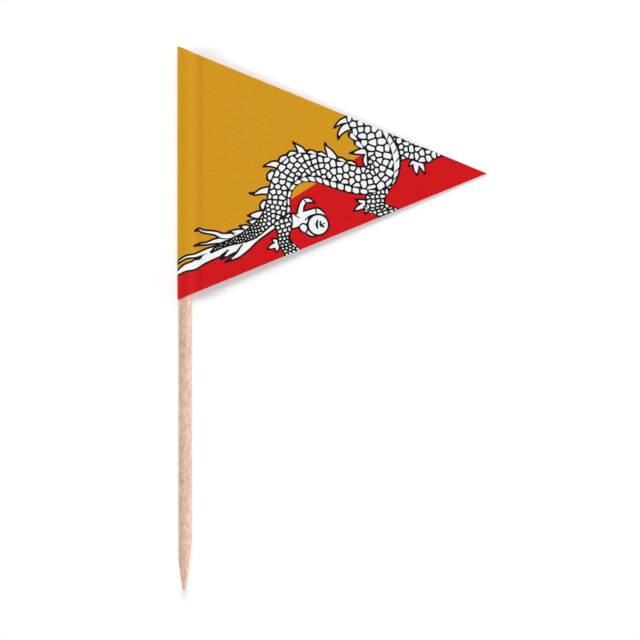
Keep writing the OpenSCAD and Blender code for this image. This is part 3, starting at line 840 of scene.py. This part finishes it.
class PICK_OT_pennant(bpy.types.Operator):
    """Fold the paper round the stick and cut it to a triangle"""
    bl_idname = "pick.pennant"
    bl_label = "Pennant"

    def execute(self, context):
        settings = context.scene.pick_pennant
        fly, paper = in_mm(settings, "fly", "paper")
        fold = Fold(settings, paper)
        tip = fly - SLEEVE_R
        mesh = bmesh.new()
        places = [-fold.r, *fold.stations(), tip]
        chain = [mesh.verts.new((place, -HOIST / 2, 0)) for place in places]
        edges = [mesh.edges.new(pair) for pair in zip(chain, chain[1:])]
        swept = bmesh.ops.extrude_edge_only(mesh, edges=edges)["geom"]
        bmesh.ops.translate(mesh, vec=(0, HOIST, 0),
                            verts=[part for part in swept if isinstance(part, bmesh.types.BMVert)])
        for way in (-1, 1):
            edge = Vector((tip + SLEEVE_R, -way * HOIST / 2, 0))
            bmesh.ops.bisect_plane(
                mesh, geom=[*mesh.verts, *mesh.edges, *mesh.faces], clear_outer=True, dist=NEAR_CUT,
                plane_co=(tip, 0, 0), plane_no=Vector((-edge.y, edge.x, 0)) * way)
        mesh.normal_update()
        bmesh.ops.reverse_faces(mesh, faces=[face for face in mesh.faces if face.normal.z < 0])
        fold_over(mesh, fold)
        mesh.normal_update()
        bmesh.ops.solidify(mesh, geom=mesh.faces[:], thickness=paper)
        shade(mesh)
        coated = coated_paper("White coated printing paper", settings.white)
        finish_piece(context, "paper_pennant", mesh, coated, "pennant")
        return {"FINISHED"}


class PICK_OT_print(bpy.types.Operator):
    """Print the two grounds and the drawing on the pennant"""
    bl_idname = "pick.print"
    bl_label = "Print"

    def execute(self, context):
        random.seed(7)
        settings = context.scene.pick_pennant
        fly, paper, thickness = in_mm(settings, "fly", "paper", "ink")
        sheet = flat_print(context.scene.pick_drawing, fly)
        fold_over(sheet, Fold(settings, paper + thickness))
        # Each ink's colour, and the share of its light that it keeps where it is thinnest
        materials = [
            printed_ink("Orange offset ink", settings.orange, 0.94),
            printed_ink("Red offset ink", settings.red, 0.91),
            printed_ink("Black offset ink", settings.black, 0.6)]
        for index, ink in enumerate(INKS):
            mesh = sheet.copy()
            layer = mesh.faces.layers.int["ink"]
            others = [face for face in mesh.faces if face[layer] != index]
            bmesh.ops.delete(mesh, geom=others, context="FACES")
            mesh.normal_update()
            bmesh.ops.solidify(mesh, geom=mesh.faces[:], thickness=thickness)
            shade(mesh)
            finish_piece(context, ink.replace("_ink", "_print"), mesh, materials[index], ink)
        sheet.free()
        return {"FINISHED"}


class PICK_OT_glue(bpy.types.Operator):
    """Give the glue between the plies its finish"""
    bl_idname = "pick.glue"
    bl_label = "Glue"

    def execute(self, context):
        film = frame["nodes"]["glue"]
        finish = dried_glue("White wood glue, dried", context.scene.pick_pennant.glue_colour)
        film.data.materials.clear()
        film.data.materials.append(finish)
        return {"FINISHED"}


class PICK_OT_stage(bpy.types.Operator):
    """Lay the pick on a white floor under soft light, seen from above"""
    bl_idname = "pick.stage"
    bl_label = "Stage"

    def execute(self, context):
        scene = context.scene
        settings = scene.pick_stage
        scene.view_settings.view_transform = "Standard"
        self.make_floor(scene)
        self.make_sky(scene, settings.sky)
        self.make_lamps(scene, settings)
        self.make_camera(scene, settings)
        return {"FINISHED"}

    def seen_directly(self, tree):
        """1 for a ray from the camera, or one that a shiny or clear surface sends on."""
        rays = add_node(tree, "LightPath").outputs
        either = add_node(tree, "Math", {0: rays["Is Glossy Ray"], 1: rays["Is Transmission Ray"]},
                          operation="MAXIMUM")
        seen = add_node(tree, "Math", {0: rays["Is Camera Ray"], 1: either.outputs[0]},
                        operation="MAXIMUM")
        return seen.outputs[0]

    def make_floor(self, scene):
        """A white floor that shows white and still takes the pick's soft shadow."""
        half_width, clearance = 1, 0.01 * MM
        mesh = bmesh.new()
        bmesh.ops.create_grid(mesh, x_segments=8, y_segments=8, size=half_width)
        bmesh.ops.translate(mesh, vec=(0, 0, -clearance), verts=mesh.verts)
        data = bpy.data.meshes.new("floor")
        mesh.to_mesh(data)
        mesh.free()
        floor = bpy.data.objects.new("floor", data)
        scene.collection.objects.link(floor)
        # White card, seen as white, with this share of it lit by the lamps so that it takes a shadow
        lit_share = 0.85
        material, tree, output = new_material("White card")
        card = add_node(tree, "BsdfDiffuse", {"Color": hex_colour("#E8E8E8")})
        bright = add_node(tree, "BsdfDiffuse", {"Color": (1, 1, 1, 1)})
        glow = add_node(tree, "Emission", {"Strength": 1.0})
        shown = add_node(tree, "MixShader", {"Fac": lit_share, 1: glow.outputs[0], 2: bright.outputs[0]})
        both = add_node(tree, "MixShader", {
            "Fac": self.seen_directly(tree), 1: card.outputs[0], 2: shown.outputs[0]})
        tree.links.new(both.outputs[0], output.inputs[0])
        data.materials.append(material)

    def make_sky(self, scene, strength):
        """A pale sky that is seen as white."""
        world = bpy.data.worlds.new("white_sky")
        world.use_nodes = True
        tree = world.node_tree
        tree.nodes.clear()
        sky = add_node(tree, "Background", {"Strength": strength})
        white = add_node(tree, "Background", {"Strength": 1.0})
        both = add_node(tree, "MixShader", {
            "Fac": self.seen_directly(tree), 1: sky.outputs[0], 2: white.outputs[0]})
        output = add_node(tree, "OutputWorld", {"Surface": both.outputs[0]})
        output.is_active_output = True
        scene.world = world

    def make_lamps(self, scene, settings):
        """Lamps beyond the head, the point and the fold, and a fill beyond the tip without a shadow."""
        # The lamp beside the fold lays the sleeve's shadow on the pennant; the stick takes half its light
        # and casts none of its shadow
        sheet = bpy.data.collections.new("folded_sheet")
        for name in ("paper_pennant", "orange_print", "red_print", "black_print"):
            sheet.objects.link(bpy.data.objects[name])
        sheet_and_floor = bpy.data.collections.new("folded_sheet_and_floor")
        for piece in (*sheet.objects, bpy.data.objects["floor"]):
            sheet_and_floor.objects.link(piece)
        # Each lamp's name, its strength, the way towards it and the angle that it fills, in degrees
        for name, strength, towards, spread in (
                ("top_lamp", settings.top_lamp, (0, 1, 0.85), 35),
                ("foot_lamp", settings.foot_lamp, (0, -1, 1.2), 35),
                ("fold_lamp", settings.fold_lamp / 2, (-2.3, 0, 1), 10),
                ("fold_lamp_past_stick", settings.fold_lamp / 2, (-2.3, 0, 1), 10),
                ("tip_fill", settings.tip_fill, (2.75, 0, 1), 35)):
            lamp = bpy.data.lights.new(name, "SUN")
            lamp.energy = strength
            lamp.angle = math.radians(spread)
            lamp.use_shadow = name != "tip_fill"
            lit = bpy.data.objects.new(name, lamp)
            lit.rotation_mode = "QUATERNION"
            lit.rotation_quaternion = Vector(towards).to_track_quat("Z", "Y")
            if name.startswith("fold_lamp"):
                lit.light_linking.blocker_collection = sheet
            if name == "fold_lamp_past_stick":
                lit.light_linking.receiver_collection = sheet_and_floor
            scene.collection.objects.link(lit)

    def make_camera(self, scene, settings):
        """A camera straight above, so far up that the picture takes in its width."""
        # The picture's middle lies a little to the right of the stick, halfway down the pick
        middle = Vector((-1.49 * MM, -0.22 * MM, AXIS_Z * MM))
        data = bpy.data.cameras.new("camera")
        data.lens = settings.lens
        data.clip_start, data.clip_end = 0.01, 10
        camera = bpy.data.objects.new("camera", data)
        camera.location = middle + Vector((0, 0, settings.view_width * data.lens / data.sensor_width))
        scene.collection.objects.link(camera)
        scene.camera = camera


class PICK_PT_panel(bpy.types.Panel):
    """Lists the steps that make the pick"""
    bl_label = "Flag Pick"
    bl_idname = "PICK_PT_panel"
    bl_space_type = "VIEW_3D"
    bl_region_type = "UI"
    bl_category = "Flag Pick"

    def draw(self, context):
        for settings, steps in PANEL_ROWS:
            box = self.layout.box()
            group = getattr(context.scene, settings)
            for name in group.bl_rna.properties.keys():
                if name not in ("rna_type", "name"):
                    box.prop(group, name)
            for step in steps:
                box.operator(step)


PANEL_ROWS = (
    ("pick_stick", ["pick.stick"]), ("pick_pennant", ["pick.pennant", "pick.glue"]),
    ("pick_drawing", ["pick.print"]), ("pick_stage", ["pick.stage"]))
SETTINGS = {
    "pick_stick": PickStickSettings, "pick_pennant": PickPennantSettings,
    "pick_drawing": PickDrawingSettings, "pick_stage": PickStageSettings}
CLASSES = (
    *SETTINGS.values(), PICK_OT_stick, PICK_OT_pennant, PICK_OT_print, PICK_OT_glue, PICK_OT_stage,
    PICK_PT_panel)


def register():
    for cls in CLASSES:
        bpy.utils.register_class(cls)
    for name, group in SETTINGS.items():
        setattr(bpy.types.Scene, name, bpy.props.PointerProperty(type=group))


def unregister():
    for name in SETTINGS:
        delattr(bpy.types.Scene, name)
    for cls in reversed(CLASSES):
        bpy.utils.unregister_class(cls)


def main():
    register()
    bpy.ops.pick.stick()
    bpy.ops.pick.pennant()
    bpy.ops.pick.print()
    bpy.ops.pick.glue()
    bpy.ops.pick.stage()


if __name__ == "__main__":
    main()
